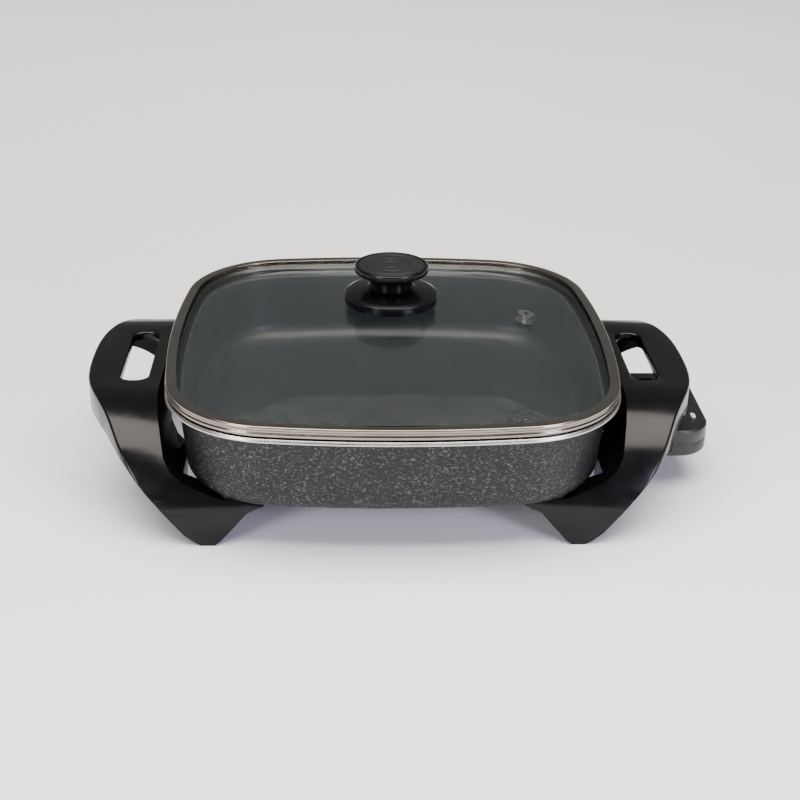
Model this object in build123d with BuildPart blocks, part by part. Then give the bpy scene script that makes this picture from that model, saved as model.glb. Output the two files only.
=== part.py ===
from build123d import *

import os
from math import atan2, cos, hypot, radians, sin, sqrt, tan

# Electric griddle: a square cast pan on two arched handles whose legs are the feet, a glass
# lid in a steel band, and a plug-in temperature control on the +X side. Millimetres, +Z up.
# The origin is on the table, under the middle of the whole appliance.

# ---- Plan outline shared by the pan and the lid: four long side arcs and four corner arcs
band_width = 310.0
band_depth = 310.0
side_radius = 700.0
corner_radius = 75.0

# ---- Pan
rim_height = 91.0
pan_depth = 59.0
lip_overhang = 1.0
lip_height = 3.0
lip_inset = 2.5
neck_inset = 7.5
wall = 4.0
wall_draft = 5.0
floor_thickness = 5.5
bottom_radius = 13.0
floor_radius = 14.0
cove_radius = 6.5
seat_radius = 1.5

# ---- Heater cast under the pan, its ridge and the tunnel for the sensing rod
heater_radius = 3.8
heater_sink = 1.5
heater_bend = 14.0
heater_margin_x = 57.0
heater_margin_y = 63.0
heater_clearance = 0.2
ridge_width = 15.0
ridge_height = 8.0
pin_spacing = 36.0
pin_radius = 1.9
pin_length = 16.0
insulator_length = 3.0
tunnel_width = 12.0
tunnel_margin = 12.0

# ---- Terminal pad and guard, and the control that plugs into it
pad_depth = 26.0
pad_margin = 2.0
pad_face_inset = 11.0
control_width = 100.0
control_thickness = 20.0
control_drop = 7.0
guard_length = 22.0
guard_wall = 2.0
guard_back = 2.5
guard_corner = 3.0
guard_screw_spacing = 76.0
guard_screw_radius = 1.7
guard_screw_head = 3.0
guard_screw_head_height = 1.8
guard_screw_length = 12.0
joint_gap = 0.4

# ---- Handles
handle_reach = 56.0
grip_drop = 10.0
grip_thickness = 20.0
leg_margin = 28.0
shoulder_radius = 75.0
shoulder_foot = 5.0
arch_top_inset = 82.0
leg_thickness = 25.0
arch_corner = 10.0
finger_near = 13.0
finger_width = 19.0
finger_length = 82.0
finger_corner = 8.0
grip_edge_radius = 2.0
core_near = 9.0
core_rim = 6.0
core_skin = 6.0
core_half_length = 66.0
arm_width = 23.0
arm_end_inset = 16.0
arm_cut_height = 18.0
boss_inset = 47.0
boss_radius = 5.5
boss_length = 8.0
boss_root = 4.0
boss_clearance = 0.3
web_thickness = 4.0
handle_screw_radius = 2.0
handle_screw_head = 3.6
handle_screw_head_height = 2.7
handle_screw_grip = 11.3
washer_radius = 4.6
washer_thickness = 1.0
counterbore_radius = 5.2
driver_slot = 1.8
driver_depth = 1.2
# Plan of the outer edge: distance out from the band's side, and share of the leg's reach
grip_outer = ((50, 0.4), (35, 0.658), (24, 0.832), (10.5, 0.939), (-3, 0.983), (-17, 1.0))
# Front view of a leg: distance out from the band's side, and share of the grip's height
leg_outer = ((-28, 0.0), (-17, 0.1), (-3, 0.296), (10.5, 0.48), (26, 0.665), (42, 0.74), (60, 0.77))
leg_inner = ((3.5, 1.0), (-1, 0.827), (-4, 0.68))
# Arm under the pan: distance out from the band's side, and height over the pan's base
arm_upper = ((-8.4, 16.0), (-17, 9.5), (-30, 4.0), (-42, 0.0), (-70, 0.0))
arm_lower = ((-69.5, -4.0), (-58, -9.0))
arm_heel = (-41.5, 4.0)
foot_inner = -37

# ---- Lid
lid_gap = 0.8
band_height = 8.0
band_sheet = 1.2
band_flange = 7.0
spigot_inset = 4.5
spigot_clearance = 0.3
band_edge_radius = 1.0
glass_thickness = 4.0
glass_inset = 1.6
dome_inset = 8.0
dome_rise = 26.5
dome_shares = (1.0, 0.88, 0.7, 0.45, 0.2)
vent_place = 96.0
vent_hole_radius = 4.5
vent_flange_radius = 6.0
vent_bore_radius = 2.0
vent_sheet = 0.8
vent_gap = 0.4

# ---- Knob on the lid
skirt_radius = 32.5
skirt_height = 6.5
skirt_wall = 2.0
skirt_notches = 3
notch_width = 5.0
notch_height = 1.5
cone_run = 3.0
cone_lip = 0.7
neck_radius = 15.0
neck_height = 11.2
cone_height = 3.8
neck_flare = 4.0
disc_radius = 25.75
disc_edge_radius = 1.2
disc_height = 5.0
cap_radius = 23.0
cap_height = 1.5
ring_radii = (20.0, 13.0, 7.0)
ring_depth = 0.5
ring_width = 1.6
gasket_height = 1.0
gasket_radius = 13.0
knob_screw_radius = 2.5
knob_screw_head = 4.5
knob_screw_head_height = 3.0
knob_screw_depth = 14.0
knob_washer_radius = 8.0

# ---- Control: case, rod, contacts, thermostat, lamp, gland and dial
case_wall = 2.0
case_reach = 71.0
case_outer_corner = 22.0
case_inner_corner = 3.0
case_edge_radius = 2.0
rib_pitch = 2.6
rib_count = 6
rib_depth = 0.8
rib_start = 18.0
rod_radius = 3.0
rod_clearance = 0.3
rod_reach = 72.0
socket_wall = 1.0
fit_clearance = 0.05
block_length = 15.0
block_width = 48.0
block_height = 9.4
terminal_screw_radius = 1.2
terminal_screw_head = 2.4
terminal_screw_head_height = 1.4
bracket_thickness = 1.2
bracket_width = 24.0
bracket_length = 38.0
bimetal_length = 26.0
bimetal_width = 8.0
bimetal_thickness = 0.8
bimetal_rise = 3.2
spring_width = 5.0
spring_thickness = 0.5
spring_rise = 6.2
leaf_place = 10.0
stud_size = 5.0
earth_thickness = 0.7
post_radius = 3.6
post_inset = 7.0
post_far_inset = 14.0
case_hole_depth = 6.0
case_screw_radius = 1.4
case_screw_head = 2.6
case_screw_head_height = 2.0
case_screw_sink = 2.4
case_screw_length = 12.0
dial_place = 35.0
dial_radius = 22.0
dial_height = 7.5
dial_flutes = 24
shaft_radius = 3.0
cam_radius = 8.0
cam_thickness = 2.0
clip_thickness = 0.9
dial_gap = 0.4
dial_flute_radius = 1.6
dial_edge = 1.0
shaft_depth = 5.0
cam_gap = 0.4
cam_lift = 2.0
clip_radius = 5.5
clip_rise = 1.6
lens_length = 7.0
lens_width = 3.0
lens_proud = 0.5
lens_place_x = 9.0
lens_place_y = 25.0
lamp_radius = 2.6
lamp_length = 10.0
gland_radius = 6.5
gland_bore_radius = 3.7
gland_length = 10.0
gland_place = 18.0
gland_flange_radius = 8.0
gland_flange = 2.0

# ---- Places that follow from the sizes above
half_width = band_width / 2
half_depth = band_depth / 2
control_reach = half_width + case_reach
pan_x = -(case_reach - handle_reach) / 2
base_height = rim_height - pan_depth
floor_height = base_height + floor_thickness
seat_height = rim_height - lip_height
base_inset = neck_inset + tan(radians(wall_draft)) * (seat_height - base_height)
floor_inset = neck_inset + wall + tan(radians(wall_draft)) * (seat_height - floor_height)
heater_height = base_height - heater_sink
heater_x = half_width - heater_margin_x
heater_y = half_depth - heater_margin_y
control_bottom = base_height - control_drop
control_mid = control_bottom + control_thickness / 2
control_top = control_bottom + control_thickness
pad_face = half_width - pad_face_inset
guard_inside = pad_face + guard_back
guard_end = pad_face + guard_length
case_start = guard_end + joint_gap
grip_top = rim_height - grip_drop
opening_top = grip_top - grip_thickness
leg_reach = half_depth - leg_margin
arch_half_foot = leg_reach - leg_thickness
arch_half_top = leg_reach - arch_top_inset
arm_clear = leg_reach - arm_width
boss_x = half_width - boss_inset
boss_y = leg_reach - arm_width / 2
boss_end = base_height - boss_length
web_top = boss_end - boss_clearance
web_bottom = web_top - web_thickness
band_bottom = rim_height + lid_gap
band_top = rim_height + band_height
glass_base = band_bottom + band_sheet + spigot_clearance
glass_edge = glass_base + glass_thickness
dome_top = glass_edge + dome_rise * (1 - dome_shares[-1] ** 2)
knob_base = dome_top + gasket_height
skirt_top = knob_base + skirt_height
neck_bottom = skirt_top + cone_height
disc_bottom = neck_bottom + neck_height
socket_radius = pin_radius + fit_clearance + socket_wall
dial_x = control_reach - dial_place
case_floor = control_bottom + case_wall
case_ceiling = control_top - case_wall
block_start = case_start + case_wall
block_end = block_start + block_length
block_top = case_floor + block_height
bracket_top = block_top + bracket_thickness
dial_bottom = control_top + dial_gap
lens_x = control_reach - lens_place_x
post_x = case_start + post_inset
post_y = control_width / 2 - post_inset
post_reach_x = control_reach - post_far_inset
post_reach_y = control_width / 2 - post_far_inset

table = Plane((pan_x, 0, 0))
front = Plane((pan_x, 0, 0), x_dir=(1, 0, 0), z_dir=(0, -1, 0))
side = Plane((pan_x, 0, 0), x_dir=(0, 1, 0), z_dir=(1, 0, 0))
pan_axis = Axis((pan_x, 0, 0), (0, 0, 1))


def level(height):
    """Horizontal plane at a height over the table, centred on the pan."""
    return table.offset(height)


def across(distance, height=0.0):
    """Plane that faces +X, at a distance from the pan's centre and a height."""
    return Plane((pan_x + distance, 0, height), x_dir=(0, 1, 0), z_dir=(1, 0, 0))


def outline(inset, share=1.0, mode=Mode.ADD):
    """Face of the plan outline in the open sketch, moved in by inset, then scaled by share.

    Each corner arc touches the two side arcs, so its centre lies where two circles about the
    side arcs' centres meet, and every inset keeps the same centres.
    """
    side_x, side_y = half_width - side_radius, half_depth - side_radius
    half_gap = hypot(side_x, side_y) / 2
    swing = sqrt((side_radius - corner_radius) ** 2 - half_gap**2) / (2 * half_gap)
    corner_x, corner_y = side_x / 2 - side_y * swing, side_y / 2 - side_x * swing
    stretch = (side_radius - inset) / (side_radius - corner_radius)
    turn = (atan2(corner_y, corner_x - side_x) + atan2(corner_y - side_y, corner_x)) / 2
    east = Vector(side_x + (corner_x - side_x) * stretch, corner_y * stretch) * share
    north = Vector(corner_x * stretch, side_y + (corner_y - side_y) * stretch) * share
    bend = Vector(corner_x, corner_y) + Vector(cos(turn), sin(turn)) * (corner_radius - inset)
    bend = bend * share
    reach_x, reach_y = (half_width - inset) * share, (half_depth - inset) * share
    with BuildLine() as rim:
        for sx, sy in ((1, 1), (-1, 1), (-1, -1), (1, -1)):
            ThreePointArc((sx * east.X, sy * east.Y), (sx * bend.X, sy * bend.Y), (sx * north.X, sy * north.Y))
        for sx in (1, -1):
            ThreePointArc((sx * east.X, -east.Y), (sx * reach_x, 0), (sx * east.X, east.Y))
        for sy in (1, -1):
            ThreePointArc((-north.X, sy * north.Y), (0, sy * reach_y), (north.X, sy * north.Y))
    make_face(rim.edges(), mode=mode)


def corner_places(x, y):
    """Four places mirrored about the pan's centre."""
    return [(sx * x, sy * y) for sx in (1, -1) for sy in (1, -1)]


def keep(made, name):
    """Names a finished piece and writes it."""
    made.part.label = name
    export_step(made.part, f"parts/{name}.step")


os.makedirs("parts", exist_ok=True)



def heater_loop(end):
    """Path of the heater in the open line: a loop whose two ends leave towards +X."""
    FilletPolyline(
        (end, -pin_spacing / 2),
        (heater_x, -pin_spacing / 2),
        (heater_x, -heater_y),
        (-heater_x, -heater_y),
        (-heater_x, heater_y),
        (heater_x, heater_y),
        (heater_x, pin_spacing / 2),
        (end, pin_spacing / 2),
        radius=heater_bend,
    )


# ---- Heating element: a tube bent into a loop whose two cold ends leave on the +X side
with BuildPart() as heating_element:
    with BuildLine(level(heater_height)) as heater_run:
        heater_loop(guard_inside)
    with BuildSketch(Plane(heater_run.line @ 0, z_dir=heater_run.line % 0)):
        Circle(heater_radius)
    sweep(path=heater_run.line)
keep(heating_element, "heating_element")

# ---- Pan: the blank is the drafted block with its rounded bottom, which the handles also fit
with BuildPart() as pan_blank:
    with BuildSketch(level(base_height)):
        outline(base_inset)
    extrude(amount=seat_height - base_height, taper=-wall_draft)
    fillet(pan_blank.edges().group_by(Axis.Z)[0], bottom_radius)

with BuildPart() as pan_body:
    add(pan_blank.part)
    # Lip over the coved neck
    with BuildSketch(level(seat_height)):
        outline(-lip_overhang)
    extrude(amount=lip_height)
    shoulder = pan_body.faces().filter_by_position(Axis.Z, seat_height, seat_height)[0]
    fillet(shoulder.inner_wires()[0].edges(), cove_radius)
    # Heater ridge, rod tunnel, terminal pad and handle bosses
    with BuildLine(level(base_height - ridge_height)) as ridge_run:
        heater_loop(pad_face)
    with BuildSketch(Plane(ridge_run.line @ 0, x_dir=(0, -1, 0), z_dir=ridge_run.line % 0)):
        Rectangle(ridge_width, ridge_height, align=(Align.CENTER, Align.MIN))
    sweep(path=ridge_run.line)
    with BuildSketch(level(base_height - ridge_height)):
        with Locations((rod_reach - tunnel_margin, 0)):
            Rectangle(pad_face - rod_reach, tunnel_width, align=(Align.MIN, Align.CENTER))
    extrude(amount=ridge_height)
    with BuildSketch(across(pad_face - pad_depth, control_mid)):
        Rectangle(control_width - 2 * pad_margin, control_thickness)
    extrude(amount=pad_depth)
    with BuildSketch(level(boss_end)):
        with Locations(corner_places(boss_x, boss_y)):
            Circle(boss_radius)
    extrude(amount=boss_length + boss_root)
    # Cooking well with its rounded floor edge, and the seat for the lid
    with BuildSketch(level(floor_height)):
        outline(floor_inset)
    extrude(amount=seat_height - floor_height, taper=-wall_draft, mode=Mode.SUBTRACT)
    with BuildSketch(level(seat_height)):
        outline(lip_inset)
    extrude(amount=lip_height, mode=Mode.SUBTRACT)
    cooking_floor = pan_body.faces().filter_by_position(Axis.Z, floor_height, floor_height)[0]
    fillet(cooking_floor.edges(), floor_radius)
    seat = pan_body.faces().filter_by_position(Axis.Z, seat_height, seat_height).sort_by(SortBy.AREA)[-1]
    fillet(seat.inner_wires()[0].edges(), seat_radius)
    # Heater groove, rod bore and the screw holes
    add(heating_element.part, mode=Mode.SUBTRACT)
    with BuildSketch(across(rod_reach - ridge_width, heater_height)):
        Circle(rod_radius + rod_clearance)
    extrude(amount=pad_face - rod_reach + ridge_width, mode=Mode.SUBTRACT)
    with BuildSketch(level(boss_end)):
        with Locations(corner_places(boss_x, boss_y)):
            Circle(handle_screw_radius)
    extrude(amount=handle_screw_grip - web_thickness - boss_clearance, mode=Mode.SUBTRACT)
    with BuildSketch(across(pad_face, control_mid)):
        with GridLocations(guard_screw_spacing, 0, 2, 1):
            Circle(guard_screw_radius)
    extrude(amount=guard_back - guard_screw_length, mode=Mode.SUBTRACT)
keep(pan_body, "pan_body")

# ---- Terminals: two pins in ceramic bushes inside a phenolic guard
with BuildPart() as heater_terminals:
    with BuildSketch(across(guard_inside, heater_height)):
        with GridLocations(pin_spacing, 0, 2, 1):
            Circle(pin_radius)
    extrude(amount=pin_length)
    fillet(heater_terminals.edges().group_by(Axis.X)[-1], pin_radius / 2)
keep(heater_terminals, "heater_terminals")

with BuildPart() as terminal_insulators:
    with BuildSketch(across(guard_inside, heater_height)):
        with GridLocations(pin_spacing, 0, 2, 1):
            Circle(socket_radius)
            Circle(pin_radius, mode=Mode.SUBTRACT)
    extrude(amount=insulator_length)
keep(terminal_insulators, "terminal_insulators")

with BuildPart() as terminal_guard:
    with BuildSketch(across(pad_face, control_mid)):
        RectangleRounded(control_width, control_thickness, guard_corner)
    extrude(amount=guard_length)
    with BuildSketch(across(guard_inside, control_mid)):
        RectangleRounded(
            control_width - 2 * guard_wall, control_thickness - 2 * guard_wall, guard_corner - guard_wall
        )
    extrude(amount=guard_length, mode=Mode.SUBTRACT)
    with BuildSketch(across(pad_face, heater_height)):
        with GridLocations(pin_spacing, 0, 2, 1):
            Circle(heater_radius + heater_clearance)
        Circle(rod_radius + rod_clearance)
    extrude(amount=guard_back, mode=Mode.SUBTRACT)
    with BuildSketch(across(pad_face, control_mid)):
        with GridLocations(guard_screw_spacing, 0, 2, 1):
            Circle(guard_screw_radius + fit_clearance)
    extrude(amount=guard_back, mode=Mode.SUBTRACT)
keep(terminal_guard, "terminal_guard")

with BuildPart() as guard_screws:
    with BuildSketch(across(guard_inside, control_mid)):
        with GridLocations(guard_screw_spacing, 0, 2, 1):
            Circle(guard_screw_radius)
    extrude(amount=-guard_screw_length)
    with BuildSketch(across(guard_inside, control_mid)):
        with GridLocations(guard_screw_spacing, 0, 2, 1):
            Circle(guard_screw_head)
    extrude(amount=guard_screw_head_height)
keep(guard_screws, "guard_screws")


# ---- Handles: where a front view, a side view and a plan view of the grip meet
def rising(points):
    """Front view points from distances out from the band's side and shares of the grip's height."""
    return [(half_width + out, share * grip_top) for out, share in points]


def over_base(points):
    """Front view points from distances out from the band's side and heights over the pan's base."""
    return [(half_width + out, base_height + height) for out, height in points]


def leg_front():
    """Front view of a handle: outer edge, grip, inner edge, arm under the pan and foot."""
    outer = rising(leg_outer)
    crown = grip_top + grip_drop
    with BuildLine() as edge:
        Spline(*outer)
        Polyline(
            outer[-1],
            (outer[-1][0], crown),
            (half_width + leg_inner[0][0], crown),
            *rising(leg_inner),
            *over_base(arm_upper),
            *over_base(arm_lower),
            (half_width + arm_heel[0], arm_heel[1]),
            (half_width + foot_inner, 0),
            outer[0],
        )
    make_face(edge.edges())


def arch_side():
    """Side view of a handle: a flat-topped arch on two legs, with broad shoulders."""
    shoulder = min(shoulder_radius, grip_top - shoulder_foot)
    feet = [(leg_reach, 0), (arch_half_foot, 0)]
    inside = [(arch_half_top, opening_top), (-arch_half_top, opening_top)]
    far_feet = [(-arch_half_foot, 0), (-leg_reach, 0)]
    crown = [(-leg_reach, grip_top), (leg_reach, grip_top)]
    radii = [0, 0, arch_corner, arch_corner, 0, 0, shoulder, shoulder]
    with BuildLine() as edge:
        FilletPolyline(*feet, *inside, *far_feet, *crown, radius=radii, close=True)
    make_face(edge.edges())


with BuildPart() as right_handle:
    with BuildSketch(front):
        leg_front()
    extrude(amount=leg_reach, both=True)
    with BuildSketch(across(0)):
        arch_side()
    extrude(amount=control_reach, mode=Mode.INTERSECT)
    # Bowed outer edge of the grip and the finger hole through it
    with BuildSketch(table):
        with BuildLine() as grip_edge:
            near = [(half_width + out, -share * leg_reach) for out, share in reversed(grip_outer)]
            far = [(x, -y) for x, y in reversed(near)]
            bow = Spline(*near, (half_width + handle_reach, 0), *far)
            Polyline(bow @ 1, (0, leg_reach), (0, -leg_reach), bow @ 0)
        make_face()
        with Locations((half_width + finger_near + finger_width / 2, 0)):
            RectangleRounded(finger_width, finger_length, finger_corner, mode=Mode.SUBTRACT)
    extrude(amount=rim_height, mode=Mode.INTERSECT)
    # Rounded edges along the outside of the crown and around the finger hole
    outer_face = right_handle.faces().sort_by(Axis.X)[-1]
    crown_face = right_handle.faces().sort_by(Axis.Z)[-1]
    crown_edges = outer_face.edges().sort_by(Axis.Z)[-3:]
    fillet([*crown_edges, *crown_face.inner_wires()[0].edges()], grip_edge_radius)
    # Core that leaves the grip a shell, open from below
    with BuildSketch(table):
        with BuildLine():
            inward = [(x - core_rim, y) for x, y in (*near, (half_width + handle_reach, 0), *far)]
            core_bow = Spline(*inward)
            Polyline(core_bow @ 1, (0, leg_reach), (0, -leg_reach), core_bow @ 0)
        make_face()
        with Locations((half_width + core_near, 0)):
            core_size = (handle_reach, 2 * core_half_length)
            Rectangle(*core_size, align=(Align.MIN, Align.CENTER), mode=Mode.INTERSECT)
    extrude(amount=grip_top - core_skin, mode=Mode.SUBTRACT)
    # Room for the heater between the arms, and a cradle that fits the pan
    with BuildSketch(table):
        with Locations((half_width - arm_end_inset, 0)):
            Rectangle(half_width, 2 * arm_clear, align=(Align.MAX, Align.CENTER))
    extrude(amount=base_height + arm_cut_height, mode=Mode.SUBTRACT)
    add(pan_blank.part, mode=Mode.SUBTRACT)
    # Pockets for the pan's bosses, screw holes and counterbores
    for radius, low, high in (
        (boss_radius + boss_clearance, web_top, base_height + boss_root),
        (handle_screw_radius + boss_clearance, web_bottom, web_top),
        (counterbore_radius, 0, web_bottom),
    ):
        with BuildSketch(level(low)):
            with Locations((boss_x, boss_y), (boss_x, -boss_y)):
                Circle(radius)
        extrude(amount=high - low, mode=Mode.SUBTRACT)
keep(right_handle, "right_handle")

with BuildPart() as left_handle:
    mirror(right_handle.part, about=side)
keep(left_handle, "left_handle")

with BuildPart() as handle_washers:
    with BuildSketch(level(web_bottom)):
        with Locations(corner_places(boss_x, boss_y)):
            Circle(washer_radius)
            Circle(handle_screw_radius + fit_clearance, mode=Mode.SUBTRACT)
    extrude(amount=-washer_thickness)
keep(handle_washers, "handle_washers")

with BuildPart() as handle_screws:
    with BuildSketch(level(web_bottom - washer_thickness)):
        with Locations(corner_places(boss_x, boss_y)):
            Circle(handle_screw_radius)
    extrude(amount=handle_screw_grip)
    with BuildSketch(level(web_bottom - washer_thickness)):
        with Locations(corner_places(boss_x, boss_y)):
            Circle(handle_screw_head)
    extrude(amount=-handle_screw_head_height)
    with BuildSketch(level(web_bottom - washer_thickness - handle_screw_head_height)):
        with Locations(corner_places(boss_x, boss_y)):
            Rectangle(2 * driver_slot, driver_slot / 2)
            Rectangle(driver_slot / 2, 2 * driver_slot)
    extrude(amount=driver_depth, mode=Mode.SUBTRACT)
keep(handle_screws, "handle_screws")


# ---- Lid: a domed glass pane held by its edge in a folded steel band
def dome(height):
    """Domed block over the plan outline whose edge is at a height: rise falls as share squared."""
    sections = []
    for share in dome_shares:
        with BuildSketch(level(height + dome_rise * (1 - share**2))) as section:
            outline(dome_inset, share)
        sections.append(section.sketch.face())
    loft(sections)


with BuildPart() as dome_hollow:
    dome(glass_base)

vent_share = vent_place / (half_width - dome_inset)
vent_top = glass_edge + dome_rise * (1 - vent_share**2)
vent_lean = 2 * dome_rise * vent_share / (half_width - dome_inset)
vent_plane = Plane((pan_x + vent_place, 0, vent_top), x_dir=(0, 1, 0), z_dir=(vent_lean, 0, 1))

with BuildPart() as lid_glass:
    dome(glass_edge)
    with BuildSketch(level(glass_base)):
        outline(glass_inset)
    extrude(amount=glass_thickness)
    add(dome_hollow.part, mode=Mode.SUBTRACT)
    with BuildSketch(level(glass_base)):
        Circle(knob_screw_radius + boss_clearance)
    extrude(amount=glass_edge + dome_rise - glass_base, mode=Mode.SUBTRACT)
    with BuildSketch(vent_plane):
        Circle(vent_hole_radius)
    extrude(amount=2 * glass_thickness, both=True, mode=Mode.SUBTRACT)
keep(lid_glass, "lid_glass")

with BuildPart() as lid_band:
    with BuildSketch(level(band_bottom)):
        outline(0)
    extrude(amount=band_top - band_bottom)
    fillet(lid_band.edges().group_by(Axis.Z)[-1], band_edge_radius)
    fillet(lid_band.edges().group_by(Axis.Z)[0], band_edge_radius)
    # Channel for the glass between two flanges
    with BuildSketch(level(band_bottom + band_sheet)):
        outline(band_sheet)
    extrude(amount=band_top - band_bottom - 2 * band_sheet, mode=Mode.SUBTRACT)
    with BuildSketch(level(band_bottom)):
        outline(band_flange)
    extrude(amount=band_top - band_bottom, mode=Mode.SUBTRACT)
    # Spigot that centres the lid in the pan
    with BuildSketch(level(seat_height + spigot_clearance)):
        outline(spigot_inset)
        outline(band_flange, mode=Mode.SUBTRACT)
    extrude(amount=band_bottom + band_sheet / 2 - seat_height - spigot_clearance)
keep(lid_band, "lid_band")

with BuildPart() as vent_grommet:
    with BuildSketch(vent_plane.offset(vent_gap)):
        Circle(vent_flange_radius)
    extrude(amount=vent_sheet)
    with BuildSketch(vent_plane.offset(-glass_thickness - vent_gap)):
        Circle(vent_flange_radius)
    extrude(amount=-vent_sheet)
    with BuildSketch(vent_plane.offset(vent_gap)):
        Circle(vent_bore_radius + vent_sheet)
    extrude(amount=-glass_thickness - 2 * vent_gap)
    with BuildSketch(vent_plane.offset(vent_gap + vent_sheet)):
        Circle(vent_bore_radius)
    extrude(amount=-glass_thickness - 2 * vent_gap - 2 * vent_sheet, mode=Mode.SUBTRACT)
keep(vent_grommet, "vent_grommet")


# ---- Knob: skirt, body, cap and what fixes them through the glass
def turned(*points):
    """Solid turned about the pan's axis from a closed profile of radii and heights."""
    with BuildSketch(front) as half:
        with BuildLine():
            Polyline(*points, close=True)
        make_face()
    revolve(half.sketch, axis=pan_axis)


with BuildPart() as knob_gasket:
    turned(
        (knob_screw_radius + boss_clearance, dome_top),
        (gasket_radius, dome_top),
        (gasket_radius, knob_base),
        (knob_screw_radius + boss_clearance, knob_base),
    )
keep(knob_gasket, "knob_gasket")

skirt_bore = neck_radius - skirt_wall / 2
with BuildPart() as knob_skirt:
    turned(
        (skirt_bore, neck_bottom),
        (neck_radius, neck_bottom),
        (skirt_radius - cone_run, skirt_top + cone_lip),
        (skirt_radius, skirt_top - cone_lip),
        (skirt_radius, knob_base),
        (skirt_radius - skirt_wall, knob_base),
        (skirt_radius - skirt_wall, skirt_top - skirt_wall),
        (skirt_bore, neck_bottom - skirt_wall),
    )
    with BuildSketch(level(knob_base)):
        with PolarLocations(skirt_radius, skirt_notches):
            Rectangle(4 * skirt_wall, notch_width)
    extrude(amount=notch_height, mode=Mode.SUBTRACT)
keep(knob_skirt, "knob_skirt")

with BuildPart() as knob_body:
    turned(
        (0, knob_base),
        (skirt_bore, knob_base),
        (skirt_bore, neck_bottom),
        (neck_radius, neck_bottom),
        (neck_radius, disc_bottom - neck_flare),
        (neck_radius + neck_flare, disc_bottom),
        (disc_radius, disc_bottom),
        (disc_radius, disc_bottom + disc_height),
        (cap_radius, disc_bottom + disc_height),
        (cap_radius, disc_bottom + disc_height - cap_height),
        (0, disc_bottom + disc_height - cap_height),
    )
    rim_edges = knob_body.edges().filter_by(GeomType.CIRCLE).group_by(SortBy.RADIUS)[-1]
    fillet(rim_edges, disc_edge_radius)
    with BuildSketch(level(knob_base)):
        Circle(knob_screw_radius)
    extrude(amount=knob_screw_depth, mode=Mode.SUBTRACT)
keep(knob_body, "knob_body")

with BuildPart() as knob_cap:
    with BuildSketch(level(disc_bottom + disc_height - cap_height)):
        Circle(cap_radius)
    extrude(amount=cap_height)
    with BuildSketch(level(disc_bottom + disc_height - ring_depth)):
        for radius in ring_radii:
            Circle(radius)
            Circle(radius - ring_width, mode=Mode.SUBTRACT)
    extrude(amount=ring_depth, mode=Mode.SUBTRACT)
keep(knob_cap, "knob_cap")

screw_seat = dome_top - glass_thickness - washer_thickness
with BuildPart() as knob_washer:
    with BuildSketch(level(screw_seat)):
        Circle(knob_washer_radius)
        Circle(knob_screw_radius + fit_clearance, mode=Mode.SUBTRACT)
    extrude(amount=washer_thickness - boss_clearance)
keep(knob_washer, "knob_washer")

with BuildPart() as knob_screw:
    with BuildSketch(level(screw_seat)):
        Circle(knob_screw_radius)
    extrude(amount=knob_base + knob_screw_depth - screw_seat)
    with BuildSketch(level(screw_seat)):
        Circle(knob_screw_head)
    extrude(amount=-knob_screw_head_height)
    fillet(knob_screw.edges().group_by(Axis.Z)[0], driver_depth)
    with BuildSketch(level(screw_seat - knob_screw_head_height)):
        Rectangle(2 * driver_slot, driver_slot / 2)
        Rectangle(driver_slot / 2, 2 * driver_slot)
    extrude(amount=driver_depth, mode=Mode.SUBTRACT)
keep(knob_screw, "knob_screw")


# ---- Control case: two shells that meet at mid height, with grip ribs, posts and openings
post_places = [(post_x, post_y), (post_x, -post_y), (post_reach_x, post_reach_y), (post_reach_x, -post_reach_y)]


def case_plan(inset=0.0):
    """Plan of the control case in the open sketch: its far corners are the large ones."""
    near, far, half = case_start + inset, control_reach - inset, control_width / 2 - inset
    corners = [(near, -half), (far, -half), (far, half), (near, half)]
    radii = [case_inner_corner - inset] + 2 * [case_outer_corner - inset] + [case_inner_corner - inset]
    with BuildLine() as edge:
        FilletPolyline(*corners, radius=radii, close=True)
    make_face(edge.edges())


def case_shell(away):
    """Half of the control case, open at mid height: away is 1 for the upper and -1 for the lower."""
    thick = control_thickness / 2
    with BuildSketch(level(control_mid)) as outside:
        case_plan()
    block = extrude(outside.sketch, amount=away * thick)
    fillet(block.faces().sort_by(Axis.Z)[-1 if away > 0 else 0].edges(), case_edge_radius)
    with BuildSketch(level(control_mid)) as inside:
        case_plan(case_wall)
    extrude(inside.sketch, amount=away * (thick - case_wall), mode=Mode.SUBTRACT)
    with BuildSketch(level(control_mid)) as posts:
        with Locations(post_places):
            Circle(post_radius)
    extrude(posts.sketch, amount=away * (thick - case_wall))
    # Grip ribs left between grooves on the front and back faces
    first = case_start + rib_start
    with BuildSketch(level(control_mid)) as grooves:
        for turn in range(rib_count):
            with Locations(*[(first + rib_pitch * turn, way * control_width / 2) for way in (-1, 1)]):
                Rectangle(rib_pitch / 2, 2 * rib_depth)
    extrude(grooves.sketch, amount=away * (thick - 2 * case_edge_radius), mode=Mode.SUBTRACT)
    # Ways through the near wall for the rod and sockets, and through the far wall for the gland
    with BuildSketch(across(case_start, heater_height)) as ways:
        with GridLocations(pin_spacing, 0, 2, 1):
            Circle(socket_radius + fit_clearance)
        Circle(rod_radius + fit_clearance)
    extrude(ways.sketch, amount=case_wall, mode=Mode.SUBTRACT)
    with BuildSketch(across(control_reach, control_mid)) as mouth:
        with Locations((gland_place, 0)):
            Circle(gland_radius)
    extrude(mouth.sketch, amount=-2 * case_wall, mode=Mode.SUBTRACT)


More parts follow.
